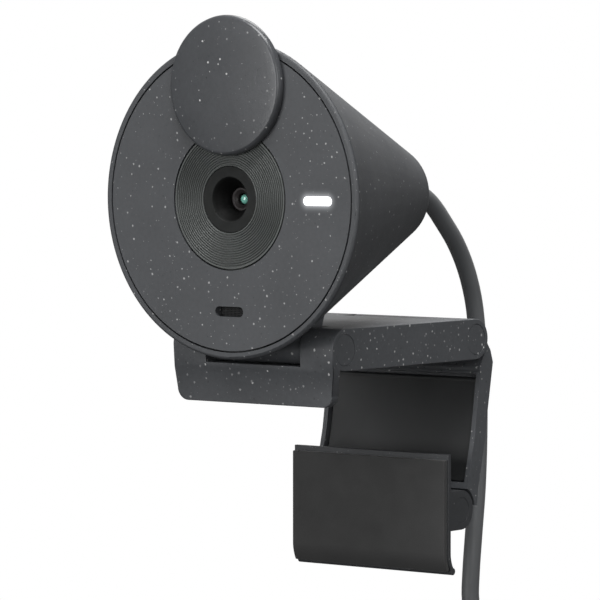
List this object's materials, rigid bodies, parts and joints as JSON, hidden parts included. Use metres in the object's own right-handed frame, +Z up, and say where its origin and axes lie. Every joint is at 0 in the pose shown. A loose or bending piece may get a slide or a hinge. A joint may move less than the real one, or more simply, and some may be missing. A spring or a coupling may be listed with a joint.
{
  "type": "webcam",
  "caption": "Cone-shaped desk webcam with a swinging round privacy disc, tilting on a fold-out clip that hangs on a monitor's top edge, with a coiled cable and plug.",
  "frame": {"origin": "middle of the clip's seat, on the underside of the rubber pad that rests on the monitor's top edge", "axes": "+Z up, the lens looks along -Y, +X is the side with the indicator light"},
  "size_m": [0.0549, 0.0774, 0.1896],
  "materials": {
    "graphite_plastic": "fine matt moulded plastic with pale and dark flecks",
    "black_plastic": "satin black moulding",
    "rubber": "matt moulded rubber",
    "cable_jacket": "smooth satin cable jacket",
    "tie_fabric": "woven hook-and-loop strap",
    "steel": "plain steel",
    "brass": "plain brass",
    "circuit_board": "green solder mask",
    "chip": "black package",
    "white_plastic": "milky plastic",
    "glass": "coated glass"
  },
  "bodies": {
    "bracket": {"clip_bracket": "graphite_plastic", "lip_pad": "rubber", "seat_pad": "rubber", "tilt_pin": "steel", "tilt_washers": "steel", "pin_caps": "graphite_plastic", "leg_pin": "steel", "cable_run": "cable_jacket", "cable_coil": "cable_jacket", "cable_tail": "cable_jacket", "coil_tie": "tie_fabric", "plug_boot": "rubber", "plug_grip": "black_plastic", "plug_shell": "steel"},
    "head": {"rear_shell": "graphite_plastic", "face_plate": "graphite_plastic", "bond_ring": "rubber", "lens_ring": "black_plastic", "lens_hood": "black_plastic", "lens_barrel": "black_plastic", "front_glass": "glass", "rear_glass": "glass", "lens_holder": "black_plastic", "infrared_filter": "glass", "image_sensor": "chip", "camera_board": "circuit_board", "board_screws": "steel", "board_spacers": "brass", "main_board": "circuit_board", "shield_can": "steel", "cable_connector": "white_plastic", "inner_lead": "cable_jacket", "led_window": "white_plastic", "led_chip": "white_plastic", "led_board": "circuit_board", "mic_mesh": "steel", "mic_gasket": "rubber", "microphone": "black_plastic", "mic_board": "circuit_board", "shutter_washer": "steel", "tilt_neck": "graphite_plastic", "neck_screws": "steel", "cable_boot": "rubber"},
    "shutter": {"privacy_disc": "graphite_plastic", "shutter_pin": "steel", "shutter_clip": "steel"},
    "leg": {"leg_frame": "graphite_plastic", "leg_panel": "black_plastic"},
    "foot": {"foot_bracket": "graphite_plastic", "foot_pad": "rubber", "foot_pin": "steel", "foot_caps": "graphite_plastic"}
  },
  "joints": [
    {"name": "head_tilt", "type": "hinge", "parent": "bracket", "child": "head", "pos_m": [0, -0.0185, 0.0038], "axis": [1, 0, 0], "range_deg": [-10, 20], "deforming": ["cable_run"]},
    {"name": "shutter_swing", "type": "hinge", "parent": "head", "child": "shutter", "pos_m": [0, -0.0282, 0.03803], "axis": [0, 1, 0], "range_deg": [0, 180]},
    {"name": "leg_swing", "type": "hinge", "parent": "bracket", "child": "leg", "pos_m": [0, 0.0191, 0.0038], "axis": [1, 0, 0], "range_deg": [-45, 30]},
    {"name": "foot_swing", "type": "hinge", "parent": "leg", "child": "foot", "pos_m": [0, 0.0154, -0.02547], "axis": [1, 0, 0], "range_deg": [-25, 25]}
  ]
}
